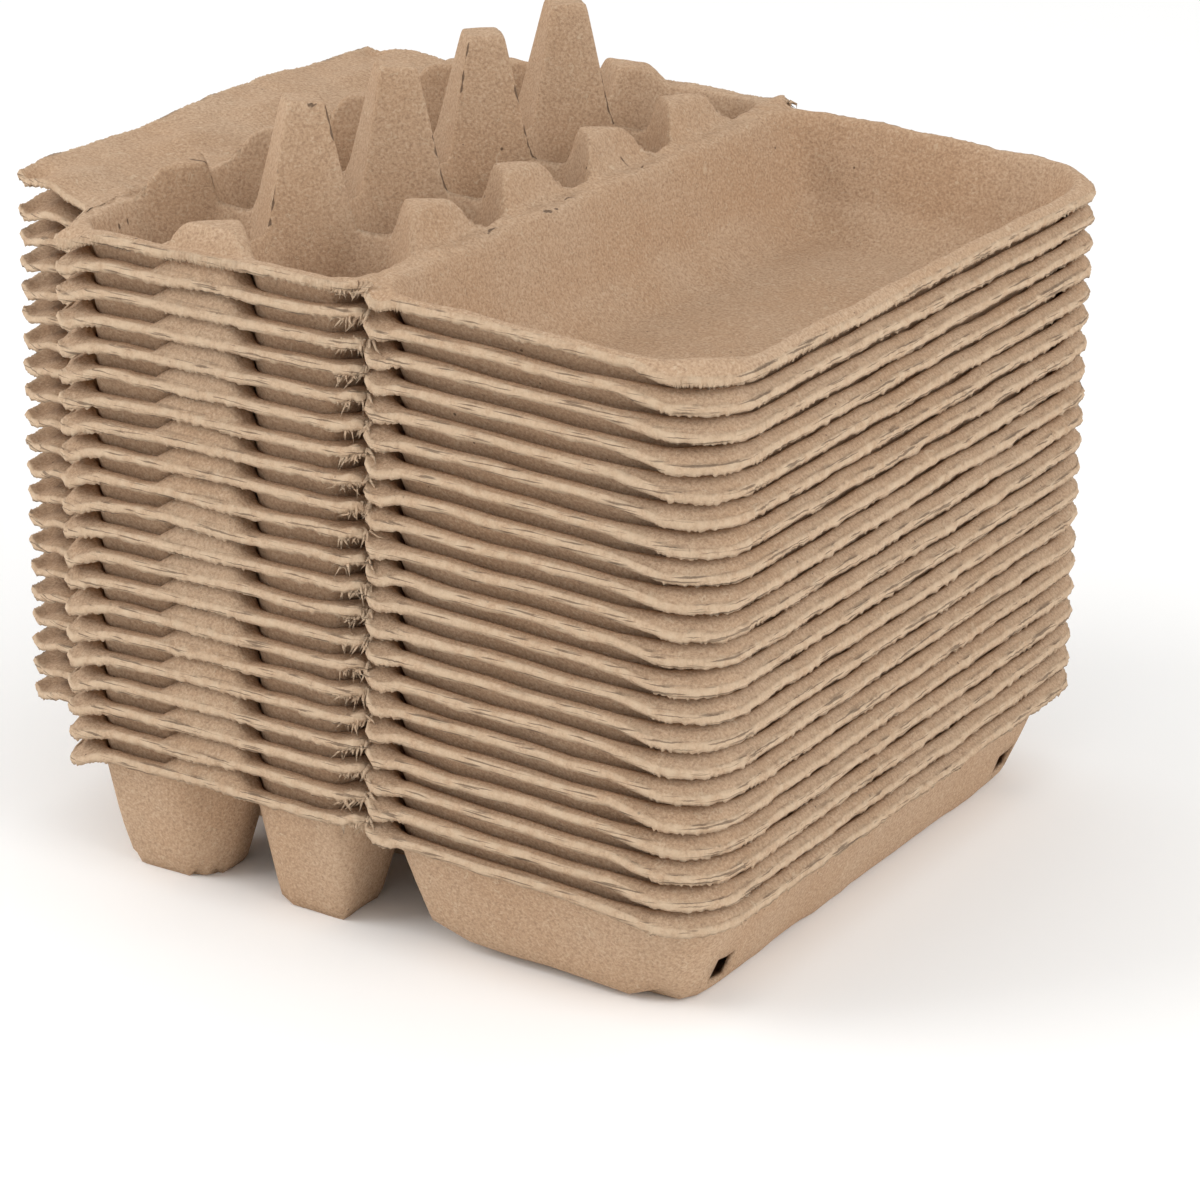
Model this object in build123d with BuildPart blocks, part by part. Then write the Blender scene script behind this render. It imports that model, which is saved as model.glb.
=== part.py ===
from build123d import *
import os
from math import asin, atan, atan2, cos, degrees, hypot, radians, sin, sqrt, tan

# Nested stack of moulded-pulp egg cartons, each a one-piece moulding opened flat:
# locking flap at -X, tray of ten cups in the middle, lid at +X with its hollow upwards.
# Every carton sits in the one below it, wedged on the faces of its four cones.

# Stack
carton_count = 21
seat_clearance = 0.12

# Pulp sheet
wall = 1.4
rim_wall = 2.2
lid_rim_wall = 1.8

# Tray
tray_depth = 40.0
tray_half_width = 53.0
tray_length = 238.0
tray_flange = 4.5
tray_corner = 5.0
columns = 5
cup_pitch_share = 0.19538
row_pitch = 48.0
cup_floor_half = 10.5
saddle_drop = 2.0
cone_height = 34.0
cone_root_half = 11.0
post_height = 9.0
hump_height = 6.0
post_lean = 25.0

# Lid
lid_depth = 36.0
lid_draft = 18.0
lid_flange = 3.5
lid_far_cut = 16.0
window_length = 12.0
window_height = 9.0
window_sill = 2.0
window_end_distance = 32.0

# Flap
flap_width = 34.0
flap_wall = 1.6
flap_end_room = 2.0
flap_taper = 6.0
flap_lift = 6.0
flap_room = 2.7
bump_height = 3.0
bump_draft = 30.0
bump_clearance = 1.2

# Living hinges
hinge_gap = 0.3
hinge_rise = 0.2
hinge_overlap = 0.5

overrun = 5.0

# Levels in one carton, measured from the surface that the lowest cups stand on
rim_level = tray_depth
floor_level = wall
saddle_level = rim_level - saddle_drop
cone_level = rim_level + cone_height
post_level = rim_level + post_height
hump_level = rim_level + hump_height
mouth_level = cone_level + overrun

# Cup faces: half width across the corners, from the square floor up to the cone roots
cup_pitch = tray_length * cup_pitch_share
corner_floor = cup_floor_half * sqrt(2)
corner_rim = (row_pitch + cup_pitch) / (2 * sqrt(2)) - cone_root_half
corner_slope = (corner_rim - corner_floor) / (rim_level - floor_level)

# Outer lines of the tray
tray_half_length = tray_length / 2
rim_edge_x = tray_half_width - tray_flange
rim_edge_y = tray_half_length - tray_flange
end_cup_y = cup_pitch * (columns - 1) / 2

# Lid outlines, and the droop that brings its far bottom edge down to the surface
lid_mouth_width = 2 * tray_half_width + flap_room - hinge_gap - lid_flange
lid_mouth_length = tray_length - 2 * lid_flange
lid_mouth_start = tray_half_width + lid_flange
lid_corner = lid_far_cut - (2 - sqrt(2)) * lid_flange
lid_skin = wall / cos(radians(lid_draft))
lid_lean = lid_depth * tan(radians(lid_draft))
lid_bottom_reach = lid_flange + lid_mouth_width + lid_skin - lid_lean
lid_bottom_angle = atan2(lid_depth, lid_bottom_reach)
droop = degrees(asin(rim_level / hypot(lid_bottom_reach, lid_depth)) - lid_bottom_angle)
window_level = rim_level - lid_depth + wall + window_sill + window_height / 2
window_offset = tray_half_length - window_end_distance

# Flap outlines, with the lock bumps where the lid's windows come down
flap_half_length = lid_mouth_length / 2 - lid_corner - flap_end_room
bump_reach = (rim_level - window_level) / cos(radians(lid_draft))
bump_length = window_length - 2 * bump_clearance
bump_width = window_height - 2 * bump_clearance

# Nesting: the steepest faces set how far one carton stands above the next
seat_drafts = (atan(corner_slope), radians(lid_draft))
stack_pitch = (wall + seat_clearance) / sin(min(seat_drafts))


def cup(x, y, level, floor_half, corner_half, reach):
    """Hollow of one cup: a square floor at level and an eight-sided mouth above the cones."""
    left, right, front, back = reach
    span = corner_half * sqrt(2)
    points = [(x + i * floor_half, y + j * floor_half, level) for i in (-1, 1) for j in (-1, 1)]
    for i, dx in ((-1, left), (1, right)):
        for j, dy in ((-1, front), (1, back)):
            points.append((x + i * dx, y + j * (span - dx), mouth_level))
            points.append((x + i * (span - dy), y + j * dy, mouth_level))
    return ConvexPolyhedron(points, mode=Mode.SUBTRACT)


def side_reach(skin, floor_half, level, half, half_level):
    """Half width at the mouth of a side face that is half wide at half_level, moved out by skin."""
    slope = (half - cup_floor_half) / (half_level - floor_level)
    rim_half = half + slope * (rim_level - half_level) + skin * sqrt(1 + slope**2)
    return floor_half + (rim_half - floor_half) * (mouth_level - level) / (rim_level - level)


def post_side(skin, rim_skin, outer, peaked):
    """Outer face of the side posts in section, from below the rim up to the cones' bar."""
    if peaked:
        # Repeated cartons: the face runs from the cup's edge straight up to the post's inner tip
        tip = corner_floor + corner_slope * (post_level - floor_level)
        tip_x = row_pitch / 2 + sqrt(2) * tip - cup_pitch / 2
        lean = (rim_edge_x - tip_x) / post_height
        foot = row_pitch / 2 + outer
        foot_level = rim_level - rim_skin
        face_top = foot_level + outer / lean
        return [(foot, foot_level - overrun), (foot, foot_level), (row_pitch / 2, face_top)]
    lean = tan(radians(post_lean))
    foot = rim_edge_x - skin / cos(radians(post_lean))
    top = post_level - skin
    top_edge = foot - (post_height - skin) * lean
    return [(foot + overrun * lean, rim_level - overrun), (top_edge, top), (row_pitch / 2, top)]


def tray_form(skin, rim_skin, margin, gap, peaked):
    """Everything under the tray's upper face, or under its lower face when skin is the wall."""
    level = floor_level - skin
    corner_out = skin * sqrt(1 + corner_slope**2)
    floor_half = (corner_floor - corner_slope * skin + corner_out) / sqrt(2)
    corner_half = corner_floor + corner_slope * (mouth_level - floor_level) + corner_out
    beside = side_reach(skin, floor_half, level, cup_pitch / 2, saddle_level)
    across = side_reach(skin, floor_half, level, row_pitch / 2, saddle_level)
    outer = side_reach(skin, floor_half, level, rim_edge_x - row_pitch / 2, rim_level)
    end = side_reach(skin, floor_half, level, rim_edge_y - end_cup_y, rim_level)
    rim_share = (rim_level - rim_skin - level) / (mouth_level - level)
    outer_rim = floor_half + (outer - floor_half) * rim_share
    side = post_side(skin, rim_skin, outer_rim, peaked) + [(row_pitch / 2, cone_level - skin)]
    lean = tan(radians(post_lean))
    hump_rim = rim_edge_y - skin / cos(radians(post_lean))
    hump_foot = hump_rim + overrun * lean
    hump_top = hump_rim - (hump_height - skin) * lean

    with BuildPart() as form:
        with BuildSketch(Plane.XY.offset(-margin)) as slab:
            Rectangle(2 * (tray_half_width - gap), tray_length)
            chamfer(slab.vertices(), length=tray_corner)
        extrude(amount=margin + rim_level - rim_skin)
        # Cones along the middle and posts along both sides, left standing between the cups
        with BuildSketch(Plane.XZ):
            with BuildLine():
                Polyline(side + [(-x, z) for x, z in reversed(side)], close=True)
            make_face()
        extrude(amount=end_cup_y, both=True)
        # Hump in the middle of each short end
        with BuildSketch(Plane.YZ):
            with BuildLine():
                Polyline(
                    (-hump_foot, rim_level - overrun),
                    (-hump_top, hump_level - skin),
                    (hump_top, hump_level - skin),
                    (hump_foot, rim_level - overrun),
                    close=True,
                )
            make_face()
        extrude(amount=row_pitch / 2, both=True)
        for column in range(columns):
            y = (column - (columns - 1) / 2) * cup_pitch
            front = end if column == 0 else beside
            back = end if column == columns - 1 else beside
            cup(-row_pitch / 2, y, level, floor_half, corner_half, (outer, across, front, back))
            cup(row_pitch / 2, y, level, floor_half, corner_half, (across, outer, front, back))
    return form.part


def make_tray(gap, peaked):
    """Tray shell: what lies between its upper and lower faces."""
    upper = tray_form(0, 0, overrun, gap, peaked)
    lower = tray_form(wall, rim_wall, 2 * overrun, gap, peaked)
    with BuildPart() as tray:
        add(upper)
        add(lower, mode=Mode.SUBTRACT)
    return tray.part


def lid_ring(level, grow, gap, overlap):
    """Eight corners of the lid's outline at a level, grown from its mouth, its far corners cut more."""
    corner = lid_corner + (2 - sqrt(2)) * grow
    half = lid_mouth_length / 2 + grow
    start = lid_mouth_start + gap - grow
    end = lid_mouth_start + gap + lid_mouth_width + grow
    points = []
    for side in (-1, 1):
        points.append((start - overlap, side * (half - tray_corner), level))
        points.append((start + tray_corner, side * half, level))
        points.append((end - corner, side * half, level))
        points.append((end, side * (half - corner), level))
    return points


def make_lid(gap, rise, overlap):
    """Lid shell with a flange, sloped walls and two lock windows in its far wall."""
    lean = tan(radians(lid_draft))
    floor = rim_level - lid_depth
    flange = lid_ring(rim_level, lid_flange, gap, overlap)
    flange += lid_ring(rim_level - lid_rim_wall, lid_flange, gap, overlap)
    tub = lid_ring(rim_level, lid_skin, gap, 0) + lid_ring(floor, lid_skin - lid_lean, gap, 0)
    hollow = lid_ring(rim_level + overrun, overrun * lean, gap, 0)
    hollow += lid_ring(floor + wall, (wall - lid_depth) * lean, gap, 0)
    with BuildPart() as lid:
        ConvexPolyhedron(flange)
        ConvexPolyhedron(tub)
        ConvexPolyhedron(hollow, mode=Mode.SUBTRACT)
        with Locations((lid_mouth_start + gap + lid_mouth_width, 0, window_level)):
            with GridLocations(0, 2 * window_offset, 1, 2):
                Box(lid_mouth_width / 2, window_length, window_height, mode=Mode.SUBTRACT)
    hinge = Axis((tray_half_width, 0, rim_level + rise), (0, 1, 0))
    return lid.part.rotate(hinge, droop)


def bump(y, level, mode):
    """Lock bump: a block that narrows downwards from a level of the flap."""
    x = -tray_half_width - bump_reach
    points = []
    for drop in (0, bump_height):
        half_x = bump_width / 2 - drop * tan(radians(bump_draft))
        half_y = bump_length / 2 - drop * tan(radians(bump_draft))
        points += [(x + i * half_x, y + j * half_y, level - drop) for i in (-1, 1) for j in (-1, 1)]
    return ConvexPolyhedron(points, mode=mode)


def make_flap(gap, rise, bumps):
    """Locking flap: a tapered plate, with two hollow bumps under its free edge where asked."""
    start = tray_half_width + gap
    end = tray_half_width + flap_width
    with BuildPart() as flap:
        with BuildSketch(Plane.XY.offset(rim_level)):
            with BuildLine():
                Polyline(
                    (-start, -flap_half_length),
                    (-start, flap_half_length),
                    (-end, flap_half_length - flap_taper),
                    (-end, -flap_half_length + flap_taper),
                    close=True,
                )
            make_face()
        extrude(amount=-flap_wall)
        for side in bumps:
            bump(side * window_offset, rim_level - flap_wall, Mode.ADD)
            bump(side * window_offset, rim_level, Mode.SUBTRACT)
    hinge = Axis((-tray_half_width, 0, rim_level + rise), (0, 1, 0))
    return flap.part.rotate(hinge, flap_lift)


# One-piece carton, its tray, lid and flap running into each other at the creases
plain_tray = make_tray(0, True)
plain_lid = make_lid(0, 0, hinge_overlap)
plain_flap = make_flap(-hinge_overlap, 0, ())
with BuildPart() as carton:
    add(plain_tray)
    add(plain_lid)
    add(plain_flap)

box = carton.part.bounding_box()
middle = -box.center().X

os.makedirs("parts", exist_ok=True)
for layer in range(carton_count - 1):
    nested = carton.part.moved(Location((middle, 0, layer * stack_pitch)))
    nested.label = f"carton_{layer + 1:02d}"
    export_step(nested, f"parts/{nested.label}.step")

# The uppermost carton is free to close, so its lid and flap are pieces that turn on their hinges
top_place = Location((middle, 0, (carton_count - 1) * stack_pitch))
top_shells = {
    "top_tray": make_tray(hinge_gap, False),
    "top_lid": make_lid(hinge_gap, hinge_rise, 0),
    "top_flap": make_flap(hinge_gap, hinge_rise, (-1, 1)),
}
for name, shell in top_shells.items():
    piece = shell.moved(top_place)
    piece.label = name
    export_step(piece, f"parts/{name}.step")
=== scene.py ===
import bpy
import numpy as np
from mathutils import Matrix, Vector


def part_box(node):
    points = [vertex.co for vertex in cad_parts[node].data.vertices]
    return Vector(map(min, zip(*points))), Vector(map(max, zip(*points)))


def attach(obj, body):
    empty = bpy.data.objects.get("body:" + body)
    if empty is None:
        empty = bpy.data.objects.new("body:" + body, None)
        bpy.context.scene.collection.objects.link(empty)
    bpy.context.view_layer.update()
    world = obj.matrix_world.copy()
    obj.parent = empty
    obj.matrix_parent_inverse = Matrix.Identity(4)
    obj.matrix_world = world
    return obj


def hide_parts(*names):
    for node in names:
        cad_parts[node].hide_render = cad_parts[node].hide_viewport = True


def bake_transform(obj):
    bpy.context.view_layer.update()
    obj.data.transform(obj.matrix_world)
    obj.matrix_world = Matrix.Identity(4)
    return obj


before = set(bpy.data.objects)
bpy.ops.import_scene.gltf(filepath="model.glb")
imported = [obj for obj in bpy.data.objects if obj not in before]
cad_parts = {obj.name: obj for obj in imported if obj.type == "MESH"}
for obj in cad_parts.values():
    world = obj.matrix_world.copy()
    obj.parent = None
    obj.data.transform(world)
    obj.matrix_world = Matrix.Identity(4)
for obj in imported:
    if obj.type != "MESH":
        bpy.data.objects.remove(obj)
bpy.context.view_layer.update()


# Moulded pulp
# Waste paper is beaten to a slurry, sucked onto a wire mould and dried with no coating or print.
# That gives a dull grey-tan felt: paler fibres, dark specks of old ink, a fine grain and soft mottling.
def linear(hex_colour):
    """sRGB hex to linear RGBA: each channel over 255, then the sum with 0.055 over 1.055 to the power 2.4,
    or a 12.92th of it where it is nearly black."""
    channels = np.array([int(hex_colour[i:i + 2], 16) for i in (1, 3, 5)]) / 255
    curved = np.where(channels <= 0.04045, channels / 12.92, ((channels + 0.055) / 1.055) ** 2.4)
    return (*curved.tolist(), 1.0)


def add_node(tree, kind, links=(), **settings):
    """Adds a node, sets its properties and named inputs, and fills (input, source) pairs: a socket is
    linked, and anything else becomes the input's value."""
    made = tree.nodes.new(kind)
    for key, value in settings.items():
        if key in made.inputs:
            made.inputs[key].default_value = value
        else:
            setattr(made, key, value)
    for name, source in links:
        if isinstance(source, bpy.types.NodeSocket):
            tree.links.new(source, made.inputs[name])
        else:
            made.inputs[name].default_value = source
    return made


MM_PER_M = 1000
PULP = "#BDA084"
PULP_WARM = "#B8987A"
PULP_PALE = "#D0B79D"
PULP_DARK = "#957860"
# Dark of the specks of old ink, also used as painted shade in the split layers of rims and in cracks
SPECK_AND_GAP_SHADE = "#4A3A2E"
TORN = "#CFB79B"
GRAIN_MM = 0.85
STRAND_MM = 5.0
PATCH_MM = 3.0
MOTTLE_MM = 34.0
SPECK_MM = 7.0
LAYER_MM = 0.7
LAYER_RUN_MM = 15.0
BUMP_MM = 0.6
STRAND_MIDDLE = 0.5
STRAND_BREADTH = 0.012
STRAND_SHARE = 0.55
PATCH_LEAST = 0.58
SPECK_SHARE = 0.75
# Share of the painted shade in the gaps between the split layers of a rim
SPLIT_SHADE_SHARE = 0.65
# Share of the painted shade along a crack, which also sets how deep the bump dips there
CRACK_SHARE = 0.75
CRACK_WANDER = 0.9

# A Mix node's numbered sockets for colours: the colour below, the colour laid over it, and the result
UNDER = 6
OVER = 7
MIXED = 2


def pulp_material():
    """Uncoated moulded pulp: mottle, grain, pale strands, specks and torn rims laid over each other in
    colour, with painted shade in the split layers of the rims and in the cracks, and the grain and strands
    less the cracks as the height of a bump."""
    material = bpy.data.materials.new("uncoated_moulded_pulp")
    material.use_nodes = True
    tree = material.node_tree
    shader = tree.nodes["Principled BSDF"]
    shader.inputs["Roughness"].default_value = 0.93
    shader.inputs["IOR"].default_value = 1.47
    shader.inputs["Specular IOR Level"].default_value = 0.22
    place = add_node(tree, "ShaderNodeTexCoord").outputs["Object"]

    mottle = add_node(tree, "ShaderNodeTexNoise", [("Vector", place)], Scale=MM_PER_M / MOTTLE_MM,
                      Detail=3.0)
    mottle_ramp = add_node(tree, "ShaderNodeMapRange", [("Value", mottle.outputs["Fac"])],
                           **{"From Min": 0.36, "From Max": 0.66})
    ground = add_node(tree, "ShaderNodeMix", [("Factor", mottle_ramp.outputs["Result"]),
                                              (UNDER, linear(PULP_WARM)), (OVER, linear(PULP))],
                      data_type="RGBA")

    # Grain of about a millimetre, a little coarser than the real felt so that it shows
    grain = add_node(tree, "ShaderNodeTexNoise", [("Vector", place)], Scale=MM_PER_M / GRAIN_MM,
                     Detail=4.0, Roughness=0.65)
    grain_ramp = add_node(tree, "ShaderNodeMapRange", [("Value", grain.outputs["Fac"])],
                          **{"From Min": 0.3, "From Max": 0.72, "To Min": -0.8, "To Max": 0.75})
    grain_light = add_node(tree, "ShaderNodeMath", [(0, grain_ramp.outputs["Result"]), (1, 0.0)],
                           operation="MAXIMUM")
    grain_shade = add_node(tree, "ShaderNodeMath", [(0, grain_ramp.outputs["Result"]), (1, -1.0)],
                           operation="MULTIPLY")
    lit = add_node(tree, "ShaderNodeMix", [("Factor", grain_light.outputs[0]),
                                           (UNDER, ground.outputs[MIXED]), (OVER, linear(PULP_PALE))],
                   data_type="RGBA")
    felt = add_node(tree, "ShaderNodeMix", [("Factor", grain_shade.outputs[0]),
                                            (UNDER, lit.outputs[MIXED]), (OVER, linear(PULP_DARK))],
                    data_type="RGBA")

    # Strands: narrow bands where a broad noise crosses its middle, kept only in scattered patches
    strand = add_node(tree, "ShaderNodeTexNoise", [("Vector", place)], Scale=MM_PER_M / STRAND_MM,
                      Detail=1.0, Distortion=1.2)
    strand_line = add_node(tree, "ShaderNodeMath", [(0, strand.outputs["Fac"]), (1, STRAND_MIDDLE),
                                                    (2, STRAND_BREADTH)], operation="COMPARE")
    patch = add_node(tree, "ShaderNodeTexNoise", [("Vector", place)], Scale=MM_PER_M / PATCH_MM,
                     Detail=0.0)
    patch_mask = add_node(tree, "ShaderNodeMath", [(0, patch.outputs["Fac"]), (1, PATCH_LEAST)],
                          operation="GREATER_THAN")
    strands = add_node(tree, "ShaderNodeMath", [(0, strand_line.outputs[0]), (1, patch_mask.outputs[0])],
                       operation="MULTIPLY")
    strand_share = add_node(tree, "ShaderNodeMath", [(0, strands.outputs[0]), (1, STRAND_SHARE)],
                            operation="MULTIPLY")
    stranded = add_node(tree, "ShaderNodeMix", [("Factor", strand_share.outputs[0]),
                                                (UNDER, felt.outputs[MIXED]), (OVER, linear(TORN))],
                        data_type="RGBA")

    # Specks of old ink: a dot in the middle of some cells, each cell with its own size of dot
    cells = add_node(tree, "ShaderNodeTexVoronoi", [("Vector", place)], Scale=MM_PER_M / SPECK_MM)
    size = add_node(tree, "ShaderNodeSeparateColor", [("Color", cells.outputs["Color"])])
    dot = add_node(tree, "ShaderNodeMapRange", [("Value", size.outputs["Red"])],
                   **{"From Min": 0.6, "From Max": 1.0, "To Min": 0.0, "To Max": 0.07})
    inside = add_node(tree, "ShaderNodeMath", [(0, cells.outputs["Distance"]), (1, dot.outputs["Result"])],
                      operation="LESS_THAN")
    speck_share = add_node(tree, "ShaderNodeMath", [(0, inside.outputs[0]), (1, SPECK_SHARE)],
                           operation="MULTIPLY")
    specked = add_node(tree, "ShaderNodeMix", [("Factor", speck_share.outputs[0]),
                                               (UNDER, stranded.outputs[MIXED]), (OVER, linear(SPECK_AND_GAP_SHADE))],
                       data_type="RGBA")

    # Torn rims: the attribute is 1 along a rim, where the fibres stand out pale
    torn = add_node(tree, "ShaderNodeAttribute", attribute_name="torn").outputs["Fac"]
    torn_share = add_node(tree, "ShaderNodeMath", [(0, torn), (1, patch.outputs["Fac"])],
                          operation="MULTIPLY")
    rim = add_node(tree, "ShaderNodeMix", [("Factor", torn_share.outputs[0]),
                                           (UNDER, specked.outputs[MIXED]), (OVER, linear(TORN))],
                   data_type="RGBA")

    # Split layers of a torn rim: a noise drawn out along the rim, painted dark where it dips as the shade
    # in the gaps between the layers
    layer_scale = (MM_PER_M / LAYER_RUN_MM, MM_PER_M / LAYER_RUN_MM, MM_PER_M / LAYER_MM)
    drawn = add_node(tree, "ShaderNodeVectorMath", [(0, place), (1, layer_scale)], operation="MULTIPLY")
    layers = add_node(tree, "ShaderNodeTexNoise", [("Vector", drawn.outputs[0])], Scale=1.0, Detail=2.0)
    split = add_node(tree, "ShaderNodeMapRange", [("Value", layers.outputs["Fac"])],
                     **{"From Min": 0.42, "From Max": 0.36, "To Min": 0.0, "To Max": SPLIT_SHADE_SHARE})
    split_shade_share = add_node(tree, "ShaderNodeMath", [(0, split.outputs["Result"]), (1, torn)],
                           operation="MULTIPLY")
    split_shaded = add_node(tree, "ShaderNodeMix", [("Factor", split_shade_share.outputs[0]),
                                               (UNDER, rim.outputs[MIXED]), (OVER, linear(SPECK_AND_GAP_SHADE))],
                       data_type="RGBA")

    # Cracks: the attribute is 1 on a crack's line and falls off beside it, and the noise makes it wander.
    # The crack is painted dark as the shade inside the split skin, and it also dips in the bump
    crack = add_node(tree, "ShaderNodeAttribute", attribute_name="crack").outputs["Fac"]
    wander = add_node(tree, "ShaderNodeMath", [(0, patch.outputs["Fac"]), (1, CRACK_WANDER), (2, crack)],
                      operation="MULTIPLY_ADD")
    crack_share = add_node(tree, "ShaderNodeMapRange", [("Value", wander.outputs[0])],
                           **{"From Min": 1.3, "From Max": 1.4, "To Min": 0.0, "To Max": CRACK_SHARE})
    crack_shaded = add_node(tree, "ShaderNodeMix", [("Factor", crack_share.outputs["Result"]),
                                               (UNDER, split_shaded.outputs[MIXED]), (OVER, linear(SPECK_AND_GAP_SHADE))],
                       data_type="RGBA")
    tree.links.new(crack_shaded.outputs[MIXED], shader.inputs["Base Color"])

    raised = add_node(tree, "ShaderNodeMath", [(0, strand_share.outputs[0]), (1, grain.outputs["Fac"])],
                      operation="ADD")
    height = add_node(tree, "ShaderNodeMath", [(0, raised.outputs[0]), (1, crack_share.outputs["Result"])],
                      operation="SUBTRACT")
    bump = add_node(tree, "ShaderNodeBump", [("Height", height.outputs[0])], Strength=0.7,
                    Distance=BUMP_MM / MM_PER_M)
    tree.links.new(bump.outputs["Normal"], shader.inputs["Normal"])
    return material


moulded_pulp = pulp_material()

# Tray
# Two rows of five cups for eggs, drawn down from a flat rim, with tall cones standing between the rows.
# Posts stand between the cups along both sides and a hump at each short end, all in one moulded skin.
WALL = 1.4
RIM_WALL = 2.2
RIM = 40.0
FLANGE = 4.5
HALF_WIDTH = 53.0
HALF_LENGTH = 119.0
RIM_EDGE_X = HALF_WIDTH - FLANGE
RIM_EDGE_Y = HALF_LENGTH - FLANGE
CUP_PITCH = 46.5
ROW_PITCH = 48.0
LAST_COLUMN = 2
END_CUP = LAST_COLUMN * CUP_PITCH
FLOOR_HALF = 12.2
CORNER_FLOOR = 13.6
CORNER_SLOPE = 0.196
END_CORNER_GROWTH = 5.5
END_SIDE_INSET = 6.0
SADDLE = 39.5
CONE = 74.2
POST = 49.8
POST_LEAN = np.tan(np.radians(25.0))
HUMP = 46.6
HUMP_LEAN = np.tan(np.radians(18.0))
# Y of a hump's foot on the nested cartons and on the uppermost one
HUMP_EDGES = (118.2, 115.0)
HUMP_MIDDLE = -2.5
HUMP_FOOT = 14.5
HUMP_SIDE = 0.95
CORNER_BLEND = 2.2
CUP_BLEND = 1.8
RIM_BLEND = 1.6
MOUTH_BLEND = 1.4
POST_BLEND = 1.1
CONE_BLEND = 1.0
HUMP_BLEND = 0.9
HUMP_FOOT_BLEND = 0.6


def soft_most(k, *levels):
    """Soft maximum of surfaces: k times the log of the sum of the exponentials of each level over k."""
    levels = np.stack(np.broadcast_arrays(*levels))
    top = levels.max(axis=0)
    return top + k * np.log(np.exp((levels - top) / k).sum(axis=0))


def soft_least(k, *levels):
    """Soft minimum of surfaces: the soft maximum of their negatives, turned back."""
    return -soft_most(k, *[-level for level in levels])


def cup_side(distance, half, half_level, skin):
    """Level of a cup's side at a distance from its centre: a plane from the floor's edge through the
    point half wide at half_level, moved out by skin along its normal."""
    slope = (half - FLOOR_HALF) / (half_level - WALL)
    return WALL + (distance - FLOOR_HALF - skin * np.sqrt(1 + slope**2)) / slope


def tray_level(x, y, skin, rim_skin, hump_edge):
    """Upper face of a tray, or its lower face when skin is the wall: the soft least of ten cups (each the
    soft most of a floor, four sides and four corners) and of a cap (rim, posts, humps and cone tops).
    The cups at the ends of the row beside the lid are drawn in at the side and fuller in the corner."""
    corner_out = skin * np.sqrt(1 + CORNER_SLOPE**2)
    cups = []
    for row in (-1, 1):
        for column in range(-LAST_COLUMN, LAST_COLUMN + 1):
            dx = (x - row * ROW_PITCH / 2) * row
            dy = y - column * CUP_PITCH
            at_end = abs(column) == LAST_COLUMN
            endward = dy * np.sign(column)
            outer_half = RIM_EDGE_X - ROW_PITCH / 2 + 0 * x
            if row == 1 and at_end:
                outer_half = outer_half - END_SIDE_INSET * np.clip(endward / CUP_PITCH * 2, 0, 1) ** 2
            outer = cup_side(dx, outer_half, RIM, skin)
            inner = cup_side(-dx, ROW_PITCH / 2, SADDLE, skin)
            across = np.where(dx > 0, outer, inner)
            beside = cup_side(np.abs(dy), CUP_PITCH / 2, SADDLE, skin)
            corner = (np.abs(dx) + np.abs(dy)) / np.sqrt(2) - CORNER_FLOOR - corner_out
            if at_end:
                end = cup_side(np.abs(dy), RIM_EDGE_Y - END_CUP, RIM, skin)
                beside = np.where(endward > 0, end, beside)
                corner = corner - np.where((dx > 0) & (endward > 0), END_CORNER_GROWTH, 0.0)
            sides = soft_most(CORNER_BLEND, across, beside, WALL + corner / CORNER_SLOPE)
            cups.append(soft_most(CUP_BLEND, WALL - skin + 0 * x, sides))
    ground = soft_least(CONE_BLEND, soft_least(CUP_BLEND, *cups), CONE - skin + 0 * x)

    post_out = skin * np.sqrt(1 + POST_LEAN**2)
    post_face = RIM + (RIM_EDGE_X - post_out - np.abs(x)) / POST_LEAN
    posts = soft_least(POST_BLEND, post_face, POST - skin + 0 * x)
    hump_out = skin * np.sqrt(1 + HUMP_LEAN**2)
    hump_face = RIM + (hump_edge - hump_out - np.abs(y)) / HUMP_LEAN
    hump_sides = RIM - skin + (HUMP_FOOT - np.abs(x - HUMP_MIDDLE)) / HUMP_SIDE
    humps = soft_least(HUMP_BLEND, hump_face, HUMP - skin + 0 * x, hump_sides)
    cap = soft_most(RIM_BLEND, RIM - rim_skin + 0 * x, np.where(np.abs(y) < END_CUP, posts, 0.0))
    cap = soft_most(HUMP_FOOT_BLEND, cap, np.where(np.abs(x) < ROW_PITCH / 2, humps, 0.0))
    open_top = (np.abs(x) < ROW_PITCH / 2) & (np.abs(y) < END_CUP)
    return np.where(open_top, ground, soft_least(MOUTH_BLEND, ground, cap))


# Lid
# A shallow tub with sloped walls and cut corners, moulded in one with the tray and laid open beside it.
# Two windows in its far wall take the lock bumps of the flap, and its far lip is rolled down.
LID_FLANGE = 3.5
LID_DEPTH = 36.0
LID_DRAFT = np.tan(np.radians(18.0))
LID_MOUTH = (HALF_WIDTH + LID_FLANGE, 161.4)
LID_MOUTH_HALF = HALF_LENGTH - LID_FLANGE
LID_FAR = LID_MOUTH[1] + LID_FLANGE
# Corner cuts beside the fold and on the far side
LID_CORNERS = (5.0, 13.95)
LID_RADIUS = 19.0
# Chamfers round the floor of the nested lids and of the uppermost one
LID_CHAMFERS = (1.5, 6.5)
LID_CORNER_BLEND = 2.5
LID_FLOOR_BLEND = 1.0
LID_RIM_BLEND = 2.0
LIP_ROLL = 3.2
ROLL_WIDTH = 5.5
ROLL_END_SHARE = 0.3
# How far before the far corner the roll starts to grow, and over what run
ROLL_GROWTH = (6.0, 10.0)
ROLL_CORNER_SHARE = 0.98

# The lid droops about its fold until the far edge of its bottom is as low as the cups
LID_BOTTOM = LID_MOUTH[1] - HALF_WIDTH + WALL * np.sqrt(1 + LID_DRAFT**2) - LID_DEPTH * LID_DRAFT
LID_DROOP = np.arcsin(RIM / np.hypot(LID_BOTTOM, LID_DEPTH)) - np.arctan2(LID_DEPTH, LID_BOTTOM)


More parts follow.
